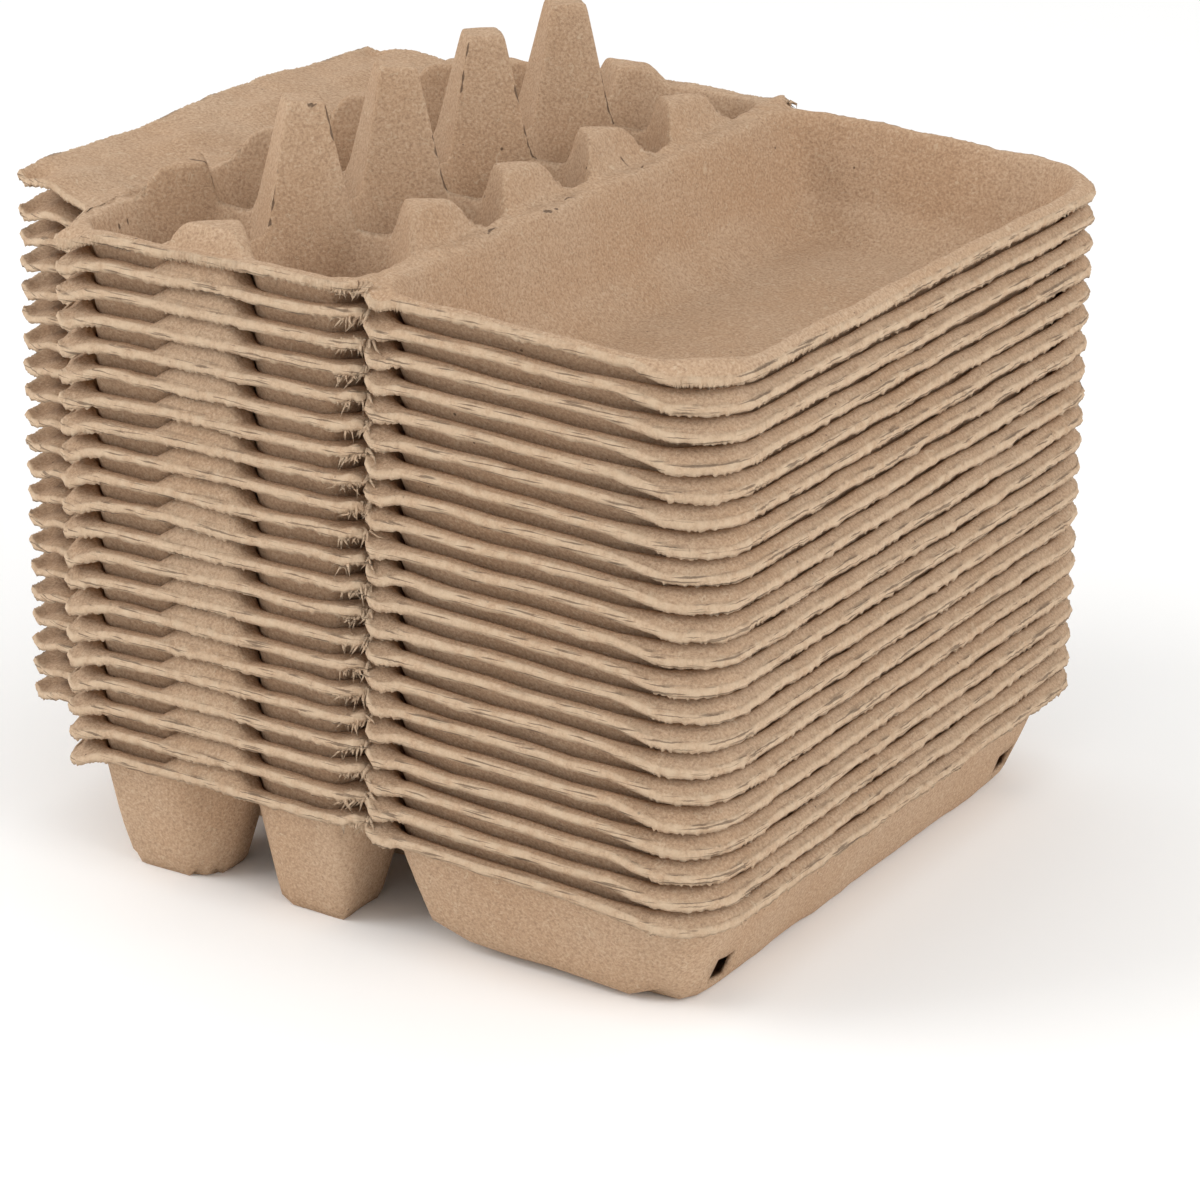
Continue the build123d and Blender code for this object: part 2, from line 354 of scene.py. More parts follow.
def lid_level(x, y, skin, rim_skin, chamfer_width):
    """Upper face of a lid before it droops, or its lower face: the soft most of a floor, a chamfer round it
    and eight walls at the draft, cut off softly by the rim."""
    middle = (LID_MOUTH[0] + LID_MOUTH[1]) / 2
    half = (LID_MOUTH[1] - LID_MOUTH[0]) / 2
    out = skin * np.sqrt(1 + LID_DRAFT**2)
    dx = np.abs(x - middle) - half
    dy = np.abs(y) - LID_MOUTH_HALF
    corner = (dx + dy + np.where(x > middle, LID_CORNERS[1], LID_CORNERS[0])) / np.sqrt(2)
    inset = soft_most(LID_CORNER_BLEND, dx, dy, corner) - out
    floor = RIM - LID_DEPTH + WALL - skin
    chamfer = floor + inset + LID_DEPTH * LID_DRAFT + chamfer_width
    tub = soft_most(LID_FLOOR_BLEND, floor + 0 * x, chamfer, RIM + inset / LID_DRAFT)
    return soft_least(LID_RIM_BLEND, tub, RIM - rim_skin + 0 * x)


def lid_roll(x, y):
    """Roll of a lid's lip: it falls as the square of the nearness to the far edge, and to the short ends by
    a share of that which grows to the whole at the far corners."""
    corner_start = LID_FAR - LID_RADIUS
    inset = np.clip(x - corner_start, 0, ROLL_CORNER_SHARE * LID_RADIUS)
    end = (half_length(x) - np.abs(y)) * np.sqrt(1 - (inset / LID_RADIUS) ** 2)
    growth = np.clip((x - corner_start + ROLL_GROWTH[0]) / ROLL_GROWTH[1], 0, 1)
    share = ROLL_END_SHARE + (1 - ROLL_END_SHARE) * growth
    far = np.clip(1 - (LID_FAR - x) / ROLL_WIDTH, 0, 1) ** 2
    near_end = np.clip(1 - end / ROLL_WIDTH, 0, 1) ** 2
    return np.where(x > HALF_WIDTH, -LIP_ROLL * np.maximum(far, share * near_end), 0.0)


# Flap
# A tapered plate moulded in one with the tray along its other side, lifted a little from the rim.
# Two hollow lock bumps near its free edge snap into the lid's windows, and the plate has dried wavy.
FLAP_WIDTH = 34.0
FLAP_HALF_LENGTH = 98.5
FLAP_TAPER = 4.5
# How far out the cut corner starts, and what it takes off each end
FLAP_CUT = (22.0, 5.0)
FLAP_WALL = 1.7
FLAP_LIFT = np.radians(6.0)
# Roll of the lip on the nested cartons and on the uppermost one, whose flap has to fit inside its lid
FLAP_ROLLS = (2.4, 0.0)
FLAP_LIP = 6.0
# How far out the lip at each end starts, and over what run it grows
END_LIP = (13.0, 10.0)
END_LIP_SHARE = 0.8
VALLEY_DEPTH = 0.8
VALLEY_OUT = 8.0
VALLEY_WIDTH = 6.0
VALLEY_START = 2.0
# How far inside each end the valley starts, and over what run it grows
VALLEY_END = (2.0, 14.0)
VALLEY_EVEN_SHARE = 0.65
WAVE_HEIGHT = 1.1
WAVE_LENGTH = 19.0
WAVE_START = 0.6
DUNE_HEIGHT = 0.8
DUNE_OUT = 18.0
DUNE_WIDTH = 5.0
DUNE_LENGTH = 8.5
DUNE_DRIFT = 1.1
DUNE_DRIFT_LENGTH = 31.0
BUMP_DEPTH = 3.0
BUMP_OUT = 29.5
BUMP_Y = 87.0
BUMP_REACH = (3.6, 5.5)
CALM_SHARE = 0.9
CALM_REACH = 9.0


def bell(*shares):
    """A bell that is one where all shares are zero: e to the power of minus the sum of their squares."""
    return np.exp(-sum(share**2 for share in shares))


def flap_half(out):
    """Half length of a flap at a distance out from its fold: a slight taper, then a straight cut corner."""
    cut = FLAP_CUT[1] * np.clip((out - FLAP_CUT[0]) / (FLAP_WIDTH - FLAP_CUT[0]), 0, 1)
    return FLAP_HALF_LENGTH - FLAP_TAPER * np.clip(out / FLAP_WIDTH, 0, 1) - cut


def flap_level(x, y, skin, lip_roll):
    """Upper face of a flap before it lifts, or its lower face: the rim's plane with a shallow valley
    beside the fold, low dunes and a soft wave along its length, two round hollows near the free edge, and
    a lip that falls as the square of the nearness to that edge and the cut corners."""
    out = -HALF_WIDTH - x
    inside = flap_half(out) - np.abs(y)
    free = np.clip(1 - (FLAP_WIDTH - out) / FLAP_LIP, 0, 1) ** 2
    end_growth = np.clip((out - END_LIP[0]) / END_LIP[1], 0, 1)
    end = end_growth * np.clip(1 - END_LIP_SHARE * inside / FLAP_LIP, 0, 1) ** 2
    roll = -lip_roll * np.maximum(free, end)
    fold = np.clip(out / VALLEY_START, 0, 1) * np.clip((inside - VALLEY_END[0]) / VALLEY_END[1], 0, 1)
    swell = VALLEY_EVEN_SHARE + (1 - VALLEY_EVEN_SHARE) * np.cos(2 * np.pi * y / CUP_PITCH)
    valley = -VALLEY_DEPTH * fold * bell((out - VALLEY_OUT) / VALLEY_WIDTH) * swell
    calm = 1 - CALM_SHARE * bell((out - BUMP_OUT) / CALM_REACH, (np.abs(y) - BUMP_Y) / CALM_REACH)
    wave = WAVE_HEIGHT * calm * np.clip(out / FLAP_WIDTH, 0, 1) * (1 + np.sin(y / WAVE_LENGTH + WAVE_START))
    drift = DUNE_DRIFT * np.sin(y / DUNE_DRIFT_LENGTH)
    dunes = DUNE_HEIGHT * bell((out - DUNE_OUT) / DUNE_WIDTH) * (1 + np.sin(y / DUNE_LENGTH + drift))
    bumps = sum(-BUMP_DEPTH * bell((out - BUMP_OUT) / BUMP_REACH[0], (y - side * BUMP_Y) / BUMP_REACH[1])
                for side in (-1, 1))
    return RIM + valley + wave + dunes + bumps + roll - skin


# Sheet of a carton
# Flap, tray and lid are one sheet of pulp, with two faces a wall apart that dried a little uneven.
# Its corners are rounded and rolled, and a notch is torn in its edge where the lid folds.
HAIR = 0.01
NOSE_RADIUS = 5.0
NOSE_ROLL = 4.4
NOSE_EDGE = 6.0
NOSE_REACH = 11.0
# Widths of the notch on the tray's side and on the lid's side of the fold
NOTCH_WIDTHS = (8.0, 5.0)
NOTCH_DEPTH = 4.0
NOTCH_ROLL_SHARE = 0.5
# Reaches of the bells at the notch, in X and in Y
NOTCH_ROLL_REACH = (5.5, 4.0)
FOLD_END_RISE = 1.6
FOLD_END_INSET = 2.0
FOLD_END_REACH = (3.5, 7.0)
# What the flap widens by at its fold, and over what run
FLAP_ROOT = (4.0, 2.0)
STRAIGHT_HALF = 70.0
LUMP_WAVES = 12
LUMP_SPREAD = (0.6, 1.8)
# Heights and lengths of the lumps all over, finer all over, and finest beside the folds
BROAD_LUMPS = (0.22, 30.0)
FINE_LUMPS = (0.1, 9.0)
FINE_SEED_STEP = 500
FOLD_LUMPS = (0.3, 6.0)
FOLD_SEED_STEP = 900
FOLD_INSET = 1.0
FOLD_REACH = 7.0


def round_cut(inset, radius):
    """Cut of a rounded corner at an inset past its start: the radius less its circle's height there."""
    return radius - np.sqrt(radius**2 - np.clip(inset, 0, radius) ** 2)


def half_length(x):
    """Half length of the sheet at x: the tray's and lid's, less their rounded corners and the notch at the
    fold between them, and the flap's taper with a root that widens towards the tray."""
    away = np.where(x > HALF_WIDTH, (x - HALF_WIDTH) / NOTCH_WIDTHS[1], (HALF_WIDTH - x) / NOTCH_WIDTHS[0])
    notch = NOTCH_DEPTH * round_cut(1 - away, 1.0)
    tray = HALF_LENGTH - notch - round_cut(NOSE_RADIUS - HALF_WIDTH - x, NOSE_RADIUS)
    lid = HALF_LENGTH - notch - round_cut(x - LID_FAR + LID_RADIUS, LID_RADIUS)
    out = np.clip(-HALF_WIDTH - x, 0, None)
    flap = flap_half(out) + FLAP_ROOT[0] * np.exp(-out / FLAP_ROOT[1])
    return np.where(x > HALF_WIDTH, lid, np.where(x < -HALF_WIDTH, flap, tray))


def nose_roll(x, y):
    """Roll of the rim at the tray's outer corners (a bell of the distance from the corner times the
    nearness to the edge to the power 1.5) and beside the notch (a bell), and a lower bell that rises where
    the fold ends in the notch."""
    in_x = x + HALF_WIDTH
    in_y = HALF_LENGTH - np.abs(y)
    past_fold = x - HALF_WIDTH
    edge = np.clip(1 - np.minimum(in_x, in_y) / NOSE_EDGE, 0, 1) ** 1.5
    corner = np.where(in_x > -HAIR, edge * bell(np.hypot(in_x, in_y) / NOSE_REACH), 0.0)
    notch = bell((past_fold - NOTCH_WIDTHS[1]) / NOTCH_ROLL_REACH[0], in_y / NOTCH_ROLL_REACH[1])
    rise = bell((past_fold + FOLD_END_INSET) / FOLD_END_REACH[0], in_y / FOLD_END_REACH[1])
    return FOLD_END_RISE * rise - NOSE_ROLL * np.maximum(corner, NOTCH_ROLL_SHARE * notch)


def swing(points, hinge_x, angle):
    """Turns points about the fold line at hinge_x on the rim, along Y: a plain rotation in X and Z."""
    x = points[..., 0] - hinge_x
    z = points[..., 2] - RIM
    return np.stack([hinge_x + x * np.cos(angle) + z * np.sin(angle), points[..., 1],
                     RIM - x * np.sin(angle) + z * np.cos(angle)], axis=-1)


def lumps(x, y, seed, height, length):
    """Uneven drying of the skin: the sum of sine waves in seeded directions, their lengths about length."""
    rng = np.random.default_rng(seed)
    angle, phase = rng.uniform(0, 2 * np.pi, (2, LUMP_WAVES))
    wave = 2 * np.pi / (length * rng.uniform(*LUMP_SPREAD, LUMP_WAVES))
    total = sum(np.sin(w * (x * np.cos(a) + y * np.sin(a)) + p) for w, a, p in zip(wave, angle, phase))
    return height * total / np.sqrt(LUMP_WAVES / 2)


def sheet(xs, ys, seed, hump_edge, lid_chamfer, flap_roll):
    """Upper and lower faces of a carton's sheet over grid lines: flap, tray and lid by where x lies,
    with the lines in Y drawn in at the cut corners so that the grid ends on the outline."""
    x, base = np.meshgrid(xs, ys, indexing="ij")
    past = np.clip(np.abs(base) - STRAIGHT_HALF, 0, None)
    drawn = past * (half_length(x) - STRAIGHT_HALF) / (HALF_LENGTH - STRAIGHT_HALF)
    y = np.sign(base) * (np.minimum(np.abs(base), STRAIGHT_HALF) + drawn)
    near_fold = bell((np.abs(x) - HALF_WIDTH + FOLD_INSET) / FOLD_REACH)
    uneven = lumps(x, y, seed, *BROAD_LUMPS) + lumps(x, y, seed + FINE_SEED_STEP, *FINE_LUMPS)
    uneven = uneven + lumps(x, y, seed + FOLD_SEED_STEP, *FOLD_LUMPS) * near_fold
    uneven = uneven + lid_roll(x, y) + nose_roll(x, y)
    skins = ((0, 0, 0, lid_chamfer), (WALL, RIM_WALL, FLAP_WALL, LID_CHAMFERS[0]))
    faces = []
    for skin, rim_skin, flap_skin, chamfer in skins:
        tray = tray_level(x, y, skin, rim_skin, hump_edge)
        level = np.where(x > HALF_WIDTH, lid_level(x, y, skin, rim_skin, chamfer), tray)
        level = np.where(x < -HALF_WIDTH, flap_level(x, y, flap_skin, flap_roll), level) + uneven
        points = np.stack([x, y, level], axis=-1)
        points = np.where((x > HALF_WIDTH)[..., None], swing(points, HALF_WIDTH, LID_DROOP), points)
        points = np.where((x < -HALF_WIDTH)[..., None], swing(points, -HALF_WIDTH, FLAP_LIFT), points)
        faces.append(points)
    return faces


# Torn rims
# Each carton is knocked out of its mould with a ragged deckle, so its rim is a lip of pulp fibres.
# Where the folds end at the corners, the skin is split and short pale fibres hang out.
LIP_STEPS = 3
# Even and ragged push of the lip's top, middle and bottom loops
LIP_PUSHES = ((0.1, 0.6), (0.5, 0.9), (0.1, 0.6))
LIP_LOOPS = len(LIP_PUSHES)
LIP_SPIKES = 0.4
LIP_SHIFT = 0.35
LIP_SAG = 0.8
SAG_LEAST = 0.6
SAG_SPREAD = 0.5
EDGE_TORN = 0.55
TINY = 1e-9
FIBRE_SCATTER = 0.3
FIBRE_SWAY = 0.45
FIBRE_OUT = (0.05, 0.5)
FIBRE_DOWN = (-1.1, -0.3)
FIBRE_LENGTHS = (2.2, 5.2)
FIBRE_BEND = 0.35
FIBRE_WIDTHS = (0.35, 0.8)
FIBRE_SUNK = 0.6
FIBRE_KNEE = 0.55
KNEE_WIDTH = 0.7
FIBRE_AXIS = (0.3, 1.0, 0.2)
FIBRE_CORNERS = 7
FIBRE_FACES = np.array([(0, 2, 1), (0, 1, 4), (0, 4, 3), (1, 2, 5), (1, 5, 4), (2, 0, 3), (2, 3, 5),
                        (3, 4, 6), (4, 5, 6), (5, 3, 6)])


def lip_rows(upper, lower, free, seed):
    """Three finer loops round a sheet's edge, at its top, middle and bottom, pushed outwards by seeded
    noise: outwards is the edge's own direction crossed with the way from its lower to its upper side."""
    rng = np.random.default_rng(seed)
    along = np.roll(upper, -1, axis=0) - np.roll(upper, 1, axis=0)
    out = np.cross(along, upper - lower)
    out /= np.linalg.norm(out, axis=1, keepdims=True) + TINY
    share = np.arange(LIP_STEPS)[None, :, None] / LIP_STEPS

    def finer(values):
        """Values at even steps between each two neighbours of a loop."""
        values = values.reshape(len(values), 1, -1)
        between = values * (1 - share) + np.roll(values, -1, axis=0) * share
        return between.reshape(len(values) * LIP_STEPS, -1)

    top, bottom, push, weight = finer(upper), finer(lower), finer(out), finer(free)
    rough = rng.random((LIP_LOOPS, len(top), 1))
    soft = (rough + np.roll(rough, 1, axis=1) + np.roll(rough, -1, axis=1)) / 3
    ragged = (1 - LIP_SPIKES) * soft + LIP_SPIKES * rough**3
    shift = (rng.random((LIP_LOOPS, len(top), 1)) - 0.5) * LIP_SHIFT * weight
    sag = LIP_SAG * weight * (SAG_LEAST + SAG_SPREAD * soft[2] + SAG_SPREAD * rough[2] ** 6)
    up = np.array([0.0, 0.0, 1.0])
    sides = (top, (top + bottom) / 2, bottom)
    rises = (shift[0], shift[1] - sag / 2, shift[2] - sag)
    return [side + push * weight * (least + spread * rag) + up * rise
            for side, (least, spread), rag, rise in zip(sides, LIP_PUSHES, ragged, rises)]


def tuft(ends, seed, count):
    """Short bent fibres at the end of a fold: each a three-sided spike of two lengths, its root on the line
    between ends and its way outwards and down, turned by seeded noise. Returns corners and triangles."""
    rng = np.random.default_rng(seed)
    outwards = np.sign(ends[0][1])
    root = ends[0] + (ends[1] - ends[0]) * rng.random((count, 1)) + rng.normal(0, FIBRE_SCATTER, (count, 3))
    way = np.stack([rng.normal(0.0, FIBRE_SWAY, count), outwards * rng.uniform(*FIBRE_OUT, count),
                    rng.uniform(*FIBRE_DOWN, count)], axis=-1)
    way /= np.linalg.norm(way, axis=1, keepdims=True)
    length = rng.uniform(*FIBRE_LENGTHS, (count, 1))
    bend = rng.uniform(-FIBRE_BEND, FIBRE_BEND, (count, 3))
    width = rng.uniform(*FIBRE_WIDTHS, (count, 1, 1))
    across = np.cross(way, FIBRE_AXIS)
    turn = np.stack([across, np.cross(way, across)], axis=1)
    turn /= np.linalg.norm(turn, axis=2, keepdims=True)
    angle = (np.arange(3) * 2 * np.pi / 3)[None, :, None]
    ring = np.cos(angle) * turn[:, None, 0] + np.sin(angle) * turn[:, None, 1]
    low = root[:, None] - FIBRE_SUNK * way[:, None] + ring * width
    knee = (root + way * length * FIBRE_KNEE)[:, None] + ring * width * KNEE_WIDTH
    tip = (root + way * length + bend * length)[:, None]
    corners = np.concatenate([low, knee, tip], axis=1)
    faces = (np.arange(count) * FIBRE_CORNERS)[:, None, None] + FIBRE_FACES[None]
    return corners.reshape(-1, 3), faces.reshape(-1, 3)


def pulp_shell(name, faces, free, seed, place, windows=(), tufts=(), cracks=None):
    """Closed mesh of a sheet in metres: its upper grid, its lower grid turned over, a torn lip round the
    edge and plain walls round each window, plus tufts of fibres. A window's step moves its hole in the
    lower grid, so that it runs level through a sloped wall. Cracks are values over the upper grid."""
    upper, lower = faces
    nx, ny = upper.shape[:2]
    index = np.arange(nx * ny).reshape(nx, ny)
    keep = np.ones((2, nx - 1, ny - 1), bool)
    cells = np.stack([index[:-1, :-1], index[1:, :-1], index[1:, 1:], index[:-1, 1:]], axis=-1)
    quads = []
    for i0, i1, j0, j1, step in windows:
        rings = []
        for side, (a, b) in enumerate(((i0, i1), (i0 + step, i1 + step))):
            keep[side, a:b, j0:j1] = False
            ring = np.concatenate([index[a:b, j0], index[b, j0:j1], index[b:a:-1, j1], index[a, j1:j0:-1]])
            rings.append(ring + side * nx * ny)
        quads.append(np.stack([rings[0], np.roll(rings[0], -1), np.roll(rings[1], -1), rings[1]], axis=-1))
    quads += [cells[keep[0]], cells[keep[1]][:, ::-1] + nx * ny]

    # The lip's loops have LIP_STEPS points to each point of the edge, so triangles join it to both grids
    edge = np.concatenate([index[:-1, 0], index[-1, :-1], index[:0:-1, -1], index[0, :0:-1]])
    flat_upper, flat_lower = upper.reshape(-1, 3), lower.reshape(-1, 3)
    weight = free.reshape(-1)[edge]
    rows = lip_rows(flat_upper[edge], flat_lower[edge], weight, seed)
    lip_start = 2 * nx * ny
    fine = len(edge) * LIP_STEPS
    ids = lip_start + np.arange(LIP_LOOPS * fine).reshape(LIP_LOOPS, fine)
    after = np.roll(ids, -1, axis=1)
    for row in range(LIP_LOOPS - 1):
        quads.append(np.stack([ids[row], ids[row + 1], after[row + 1], after[row]], axis=-1))
    onward = np.roll(edge, -1)
    below, below_onward = edge + nx * ny, onward + nx * ny
    first = ids[0].reshape(-1, LIP_STEPS)
    last = ids[-1].reshape(-1, LIP_STEPS)
    first_end, last_end = np.roll(first[:, 0], -1), np.roll(last[:, 0], -1)
    triangles = [np.stack(corners, axis=-1) for corners in (
        (edge, first[:, 0], first[:, 1]), (edge, first[:, 1], onward),
        (onward, first[:, 1], first[:, 2]), (onward, first[:, 2], first_end),
        (last[:, 0], below, last[:, 1]), (last[:, 1], below, below_onward),
        (last[:, 1], below_onward, last[:, 2]), (last[:, 2], below_onward, last_end))]
    points = [flat_upper, flat_lower, *rows]
    edge_torn = np.zeros(nx * ny)
    edge_torn[edge] = EDGE_TORN * weight
    torn = [edge_torn, edge_torn] + [np.repeat(weight, LIP_STEPS)] * LIP_LOOPS
    used = lip_start + LIP_LOOPS * fine
    for corners, sides in tufts:
        points.append(corners)
        torn.append(np.ones(len(corners)))
        triangles.append(sides + used)
        used += len(corners)

    points = (np.concatenate(points) + place) / MM_PER_M
    quads, triangles = np.concatenate(quads), np.concatenate(triangles)
    mesh = bpy.data.meshes.new(name)
    mesh.vertices.add(len(points))
    mesh.vertices.foreach_set("co", points.ravel())
    mesh.loops.add(quads.size + triangles.size)
    mesh.loops.foreach_set("vertex_index", np.concatenate([quads.ravel(), triangles.ravel()]))
    starts = np.concatenate([np.arange(len(quads)) * 4, quads.size + np.arange(len(triangles)) * 3])
    mesh.polygons.add(len(starts))
    mesh.polygons.foreach_set("loop_start", starts)
    mesh.update(calc_edges=True)
    mesh.polygons.foreach_set("use_smooth", np.ones(len(starts), bool))
    mesh.attributes.new("torn", "FLOAT", "POINT").data.foreach_set("value", np.concatenate(torn))
    if cracks is not None:
        crack = np.zeros(len(points))
        crack[:nx * ny] = cracks.ravel()
        mesh.attributes.new("crack", "FLOAT", "POINT").data.foreach_set("value", crack)
    mesh.materials.append(moulded_pulp)
    piece = bpy.data.objects.new(name, mesh)
    bpy.context.scene.collection.objects.link(piece)
    return piece


# Nested cartons
# Twenty cartons pushed into each other, each a single sheet of pulp from its flap across to its lid.
# They wedge on the faces of their cones, so that every rim stands one step above the next.
NESTED_COUNT = 20
# The uppermost tray stands NESTED_COUNT steps up, and its middle is the middle of every tray
tray_low, tray_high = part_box("top_tray")
STACK_SHIFT = MM_PER_M * (tray_low.x + tray_high.x) / 2
STACK_PITCH = MM_PER_M * tray_low.z / NESTED_COUNT
NESTED_WINDOW_STEP = 1
NESTED_FIBRES = 24
TUFT_SEED_STEP = 40

# Grid lines: coarse on the cups' floors and fine on the cones, folds, windows and edges
CUP_FLAT = 10.5
FLAP_OUTS = np.array([FLAP_WIDTH, 32.5, 30.5, 27.5, 24.5, 20.0, 15.0, 10.0, 5.0, 0.7])
ROW_SIDE_KNOTS = np.array([ROW_PITCH / 2 - CUP_FLAT, ROW_PITCH / 2 + CUP_FLAT, RIM_EDGE_X])
TRAY_KNOTS = np.concatenate([-ROW_SIDE_KNOTS[::-1], [0.0], ROW_SIDE_KNOTS])
LID_FOOT = 67.7
LID_FINE_START = 147.0
WINDOW_LINES = np.array([150.8, 152.25, 153.7, 155.15])
LID_KNOTS = np.array([HALF_WIDTH, LID_MOUTH[0], LID_FOOT, LID_FINE_START, *WINDOW_LINES, LID_MOUTH[1],
                      LID_FAR])
COLUMN_KNOTS = np.array([CUP_FLAT, CUP_PITCH / 2, CUP_PITCH - CUP_FLAT, CUP_PITCH + CUP_FLAT,
                         1.5 * CUP_PITCH, END_CUP - CUP_FLAT, END_CUP + CUP_FLAT, RIM_EDGE_Y, HALF_LENGTH])
LENGTH_KNOTS = np.concatenate([-COLUMN_KNOTS[::-1], COLUMN_KNOTS])
WINDOW_X = WINDOW_LINES[[0, 2]]
WINDOW_Y = np.array([END_CUP - CUP_FLAT, END_CUP])
# Ends of the line that the fibres at the end of a fold hang from
FOLD_END_LINE = np.array([(45.5, 118.2, RIM - 1.0), (54.5, 116.4, RIM + 0.2)])


def lines(knots, counts):
    """Grid lines: each run between two knots divided evenly into its count."""
    runs = [np.linspace(a, b, n, endpoint=False) for a, b, n in zip(knots, knots[1:], counts)]
    return np.concatenate(runs + [knots[-1:]])


def window_cells(xs, ys, step):
    """Runs of grid cells of the two lock windows, alike on both sides of the middle, with their step."""
    start_x, end_x = np.searchsorted(xs, WINDOW_X - HAIR)
    start_y, end_y = np.searchsorted(ys, WINDOW_Y - HAIR)
    last = len(ys) - 1
    return [(start_x, end_x, start_y, end_y, step), (start_x, end_x, last - end_y, last - start_y, step)]


tray_x = lines(np.array([-HALF_WIDTH, *TRAY_KNOTS, HALF_WIDTH]), (4, 8, 4, 8, 8, 4, 7, 4))
lid_x = lines(LID_KNOTS, (4, 6, 6, 3, 1, 1, 1, 5, 4))
nested_x = np.concatenate([-HALF_WIDTH - FLAP_OUTS, tray_x[:-1], lid_x])
half_counts = (5, 5, 4, 5, 5, 4, 6, 3)
nested_y = lines(LENGTH_KNOTS, (*half_counts[::-1], 4, *half_counts))
nested_windows = window_cells(nested_x, nested_y, NESTED_WINDOW_STEP)
fold_ends = [FOLD_END_LINE * (1, side, 1) for side in (-1, 1)]

for layer in range(NESTED_COUNT):
    name = f"carton_{layer + 1:02d}"
    made = sheet(nested_x, nested_y, layer, HUMP_EDGES[0], LID_CHAMFERS[0], FLAP_ROLLS[0])
    free = np.ones(made[0].shape[:2])
    place = np.array([STACK_SHIFT, 0.0, layer * STACK_PITCH])
    tufts = [tuft(ends, TUFT_SEED_STEP * layer + k, NESTED_FIBRES) for k, ends in enumerate(fold_ends)]
    carton = pulp_shell(f"{name}_sheet", made, free, layer, place, nested_windows, tufts)
    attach(carton, "stack")
    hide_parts(name)

# Uppermost carton
# The same moulding with nothing on top of it, so all of its cups, cones and posts show.
# Its lid and flap are pieces on bodies of their own, apart from the tray.
CREASE = 1.6
CREASE_LINE = 0.6
LID_WALL_LINE = 57.5
TOP_KNOTS = np.concatenate([
    [-HALF_WIDTH - FLAP_WIDTH, -HALF_WIDTH - CREASE, -HALF_WIDTH - CREASE_LINE],
    [-HALF_WIDTH, CREASE - HALF_WIDTH],
    TRAY_KNOTS,
    [HALF_WIDTH - CREASE, HALF_WIDTH, HALF_WIDTH + CREASE, LID_WALL_LINE, LID_FOOT],
    WINDOW_LINES,
    [LID_MOUTH[1], LID_FAR]])
TOP_COUNTS = (24, 2, 2, 4, 5, 26, 14, 26, 26, 14, 26, 5, 4, 4, 5, 16, 28, 3, 3, 3, 13, 10)
TOP_WINDOW_STEP = 3
TOP_FIBRES = 30
TOP_TUFT_SEED = 900
TOP_LIP_SEED = 77
CREASE_LIP_SEED = 78
top_place = np.array([STACK_SHIFT, 0.0, NESTED_COUNT * STACK_PITCH])
top_half_counts = (14, 14, 10, 14, 14, 10, 16, 8)
top_x = lines(TOP_KNOTS, TOP_COUNTS)
top_y = lines(LENGTH_KNOTS, (*top_half_counts[::-1], 10, *top_half_counts))

# Cracks: split skin on the cones and one post, placed from each cone's middle, and along the creases
CRACK_SEED = 31
CRACK_REACH = 1.6
CREASE_CRACKS = 6
CRACKED_HALF = 105
CRACKED_X = (45, 56)
CRACK_STEPS = 3
CRACK_WAY = (0.8, 1.6)
CRACK_SWAY = 1.3


def crack_field(x, y, paths):
    """One on a path and none beyond CRACK_REACH of it: one less the least distance to the path's straight
    runs over that reach, the most of all paths."""
    field = np.zeros(x.shape)
    for path in paths:
        for (ax, ay), (bx, by) in zip(path, path[1:]):
            run = (bx - ax) ** 2 + (by - ay) ** 2
            share = np.clip(((x - ax) * (bx - ax) + (y - ay) * (by - ay)) / run, 0, 1)
            distance = np.hypot(x - ax - share * (bx - ax), y - ay - share * (by - ay))
            field = np.maximum(field, 1 - distance / CRACK_REACH)
    return field


cone_1, cone_2, cone_3, cone_4 = (np.array([0.0, k * CUP_PITCH]) for k in (-1.5, -0.5, 0.5, 1.5))
crack_paths = [
    cone_1 + [(0.0, -7.0), (4.5, -3.2), (7.6, 0.0), (10.5, 0.0)],
    cone_1 + [(0.0, -13.0), (0.0, -18.5)],
    cone_2 + [(13.0, 0.0), (18.0, 0.0)],
    cone_3 + [(11.5, 0.0), (19.0, 0.0)],
    cone_3 + [(0.0, -8.0), (0.0, -12.0)],
    cone_4 + [(13.5, 0.0), (18.5, 0.0)],
    cone_1 + [(-41.0, 0.0), (-31.0, 0.0)]]
crack_rng = np.random.default_rng(CRACK_SEED)
for side in (-1, 1):
    for start_y in crack_rng.uniform(-CRACKED_HALF, CRACKED_HALF, CREASE_CRACKS):
        start = np.array([side * crack_rng.uniform(*CRACKED_X), start_y])
        steps = np.cumsum(crack_rng.normal(0, CRACK_SWAY, (CRACK_STEPS, 2)) + CRACK_WAY, axis=0)
        crack_paths.append(np.concatenate([[start], start + steps]))

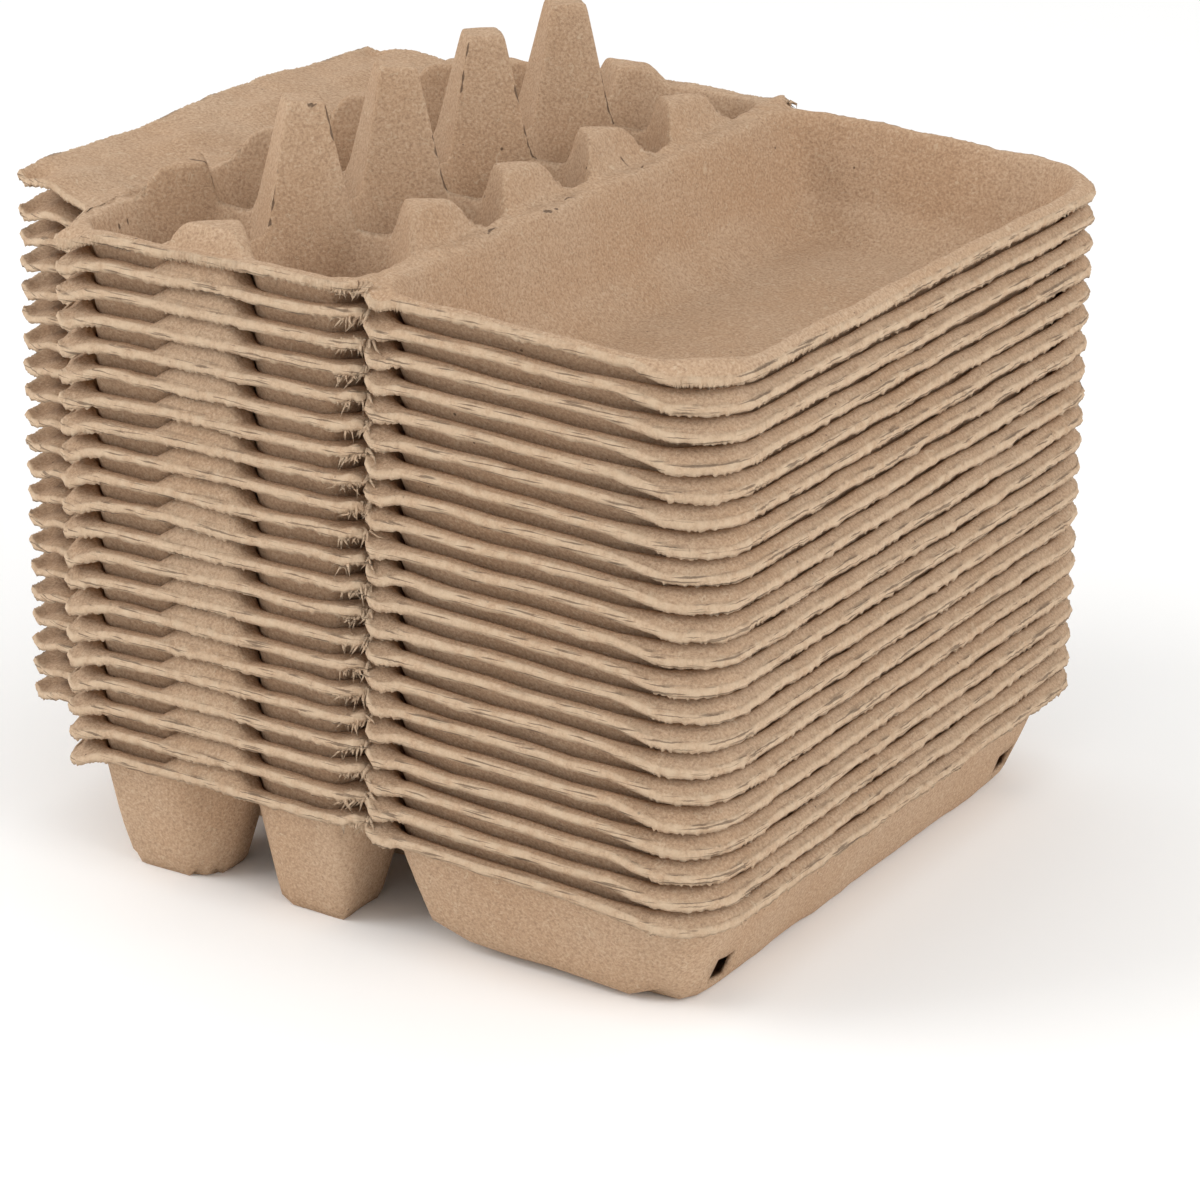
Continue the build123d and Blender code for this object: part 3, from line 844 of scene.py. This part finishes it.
made = sheet(top_x, top_y, NESTED_COUNT, HUMP_EDGES[1], LID_CHAMFERS[1], FLAP_ROLLS[1])
cracks = crack_field(made[0][..., 0], made[0][..., 1], crack_paths)
top_windows = window_cells(top_x, top_y, TOP_WINDOW_STEP)
top_tufts = [tuft(ends, TOP_TUFT_SEED + k, TOP_FIBRES) for k, ends in enumerate(fold_ends)]
crease_edges = np.array([-HALF_WIDTH - CREASE, CREASE - HALF_WIDTH,
                         HALF_WIDTH - CREASE, HALF_WIDTH + CREASE])
flap_end, flap_start, lid_start, lid_end = np.searchsorted(top_x, crease_edges - HAIR)
for node, body, first, last in (("top_flap", "flap", 0, flap_end),
                                ("top_tray", "stack", flap_start, lid_start),
                                ("top_lid", "lid", lid_end, len(top_x) - 1)):
    part = [face[first:last + 1] for face in made]
    free = np.ones(part[0].shape[:2])
    free[0] = float(node == "top_flap")
    free[-1] = float(node == "top_lid")
    windows = [(a - first, b - first, *rest) for a, b, *rest in top_windows] if node == "top_lid" else ()
    tufts = top_tufts if node == "top_tray" else ()
    piece = pulp_shell(f"{node}_sheet", part, free, TOP_LIP_SEED, top_place, windows, tufts,
                       cracks[first:last + 1])
    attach(piece, body)
    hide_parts(node)

# Creases of the uppermost carton
# The thin lines where the tray runs on into the lid and into the flap, pressed into the same sheet.
for name, first, last, near, far in (("flap_crease", flap_end, flap_start, "flap", "stack"),
                                     ("lid_crease", lid_start, lid_end, "stack", "lid")):
    part = [face[first:last + 1] for face in made]
    free = np.ones(part[0].shape[:2])
    free[[0, -1]] = 0.0
    crease = pulp_shell(name, part, free, CREASE_LIP_SEED, top_place, cracks=cracks[first:last + 1])
    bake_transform(crease)

# Floor and light
# A plain white paper sweep under and behind the stack, lit by two large soft boxes, left and right,
# and by a dim sky all round. The camera sees the sky as white.
FLOOR_PAPER = "#FEFEFD"
FLOOR_REACH = 6.0
SKY = "#FFFFFF"
SKY_LOW = 0.66
SKY_HIGH = 0.9
SKY_HIGH_FROM = 0.9
LIT_MIDDLE = Vector((0.0, 0.0, 0.12))
SOFT_BOXES = (("key_box", (-1.4, -1.1, 1.1), 19.0, 1.3), ("fill_box", (1.7, -0.3, 1.0), 14.0, 1.2))

floor_corners = [(FLOOR_REACH * i, FLOOR_REACH * j, 0.0) for i, j in ((-1, -1), (1, -1), (1, 1), (-1, 1))]
floor_mesh = bpy.data.meshes.new("studio_floor")
floor_mesh.from_pydata(floor_corners, [], [(0, 1, 2, 3)])
studio_floor = bpy.data.objects.new("studio_floor", floor_mesh)
bpy.context.scene.collection.objects.link(studio_floor)
floor_paper = bpy.data.materials.new("white_studio_paper")
floor_paper.use_nodes = True
floor_shader = floor_paper.node_tree.nodes["Principled BSDF"]
floor_shader.inputs["Base Color"].default_value = linear(FLOOR_PAPER)
floor_shader.inputs["Roughness"].default_value = 0.9
floor_mesh.materials.append(floor_paper)

world = bpy.data.worlds.new("soft_studio")
bpy.context.scene.world = world
world.use_nodes = True
sky = world.node_tree
background = sky.nodes["Background"]
background.inputs["Color"].default_value = linear(SKY)
rays = add_node(sky, "ShaderNodeLightPath").outputs
seen = add_node(sky, "ShaderNodeMath", [(0, rays["Is Camera Ray"]), (1, rays["Is Glossy Ray"])],
                operation="MAXIMUM")
direction = add_node(sky, "ShaderNodeTexCoord").outputs["Generated"]
heights = add_node(sky, "ShaderNodeSeparateXYZ", [("Vector", direction)])
dome = add_node(sky, "ShaderNodeMapRange", [("Value", heights.outputs["Z"])],
                **{"From Min": 0.0, "From Max": SKY_HIGH_FROM, "To Min": SKY_LOW, "To Max": SKY_HIGH})
strength = add_node(sky, "ShaderNodeMix", [("Factor", seen.outputs[0]), ("A", dome.outputs["Result"]),
                                           ("B", 1.0)])
sky.links.new(strength.outputs["Result"], background.inputs["Strength"])

for box_name, where, power, width in SOFT_BOXES:
    lamp = bpy.data.lights.new(box_name, "AREA")
    lamp.energy = power
    lamp.size = width
    box = bpy.data.objects.new(box_name, lamp)
    bpy.context.scene.collection.objects.link(box)
    box.location = where
    box.rotation_mode = "QUATERNION"
    box.rotation_quaternion = (LIT_MIDDLE - Vector(where)).to_track_quat("-Z", "Y")

# Camera
# Stands where the photograph was taken from, found by fitting the cone tips, rims and corners of the stack.
# A long lens looks down on the stack's near edge from above its top.
EYE = (0.66548, -1.06736, 0.55389)
azimuth, elevation, roll = np.radians((31.196, 21.218, 0.911))
back = np.array([np.sin(azimuth) * np.cos(elevation), -np.cos(azimuth) * np.cos(elevation),
                 np.sin(elevation)])
level_right = np.array([np.cos(azimuth), np.sin(azimuth), 0.0])
level_up = np.cross(back, level_right)
right = level_right * np.cos(roll) + level_up * np.sin(roll)
upward = level_up * np.cos(roll) - level_right * np.sin(roll)
camera_data = bpy.data.cameras.new("photo_camera")
camera_data.lens = 133.343
camera_data.sensor_width = 36.0
camera_data.clip_start = 0.05
camera_data.shift_y = 0.0045
camera = bpy.data.objects.new("photo_camera", camera_data)
bpy.context.scene.collection.objects.link(camera)
turn = np.eye(4)
turn[:3] = np.stack([right, upward, back, EYE], axis=1)
camera.matrix_world = Matrix(turn.tolist())
bpy.context.scene.camera = camera
bpy.context.scene.view_settings.view_transform = "Standard"
